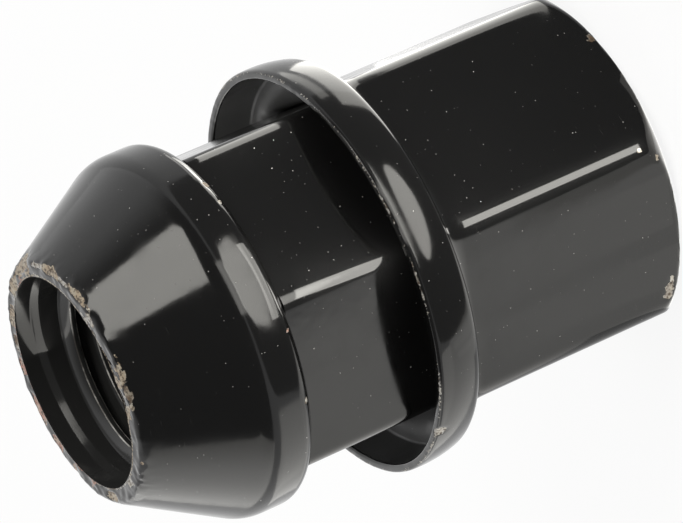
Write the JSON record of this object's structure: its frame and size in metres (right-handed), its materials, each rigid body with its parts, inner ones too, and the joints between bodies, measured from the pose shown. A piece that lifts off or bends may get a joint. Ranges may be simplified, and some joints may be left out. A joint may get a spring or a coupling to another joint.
{
  "type": "lug nut",
  "caption": "Capped lug nut: threaded core with a conical seat and collar, under a drawn hex cap with a round flared skirt, painted gloss black.",
  "frame": {"origin": "centre of the cap's flat closed end, where the nut stands", "axes": "+Z along the nut's axis from the closed end to the threaded nose, +X through a corner of the hex"},
  "size_m": [0.028, 0.028, 0.0394],
  "materials": {
    "core_paint": "thick gloss black paint over steel, chipped to bare metal at the nose",
    "cap_paint": "thick gloss black paint over drawn sheet steel, worn at the skirt's rim"
  },
  "bodies": {
    "root": {"nut_core": "core_paint", "cap": "cap_paint"}
  },
  "joints": []
}
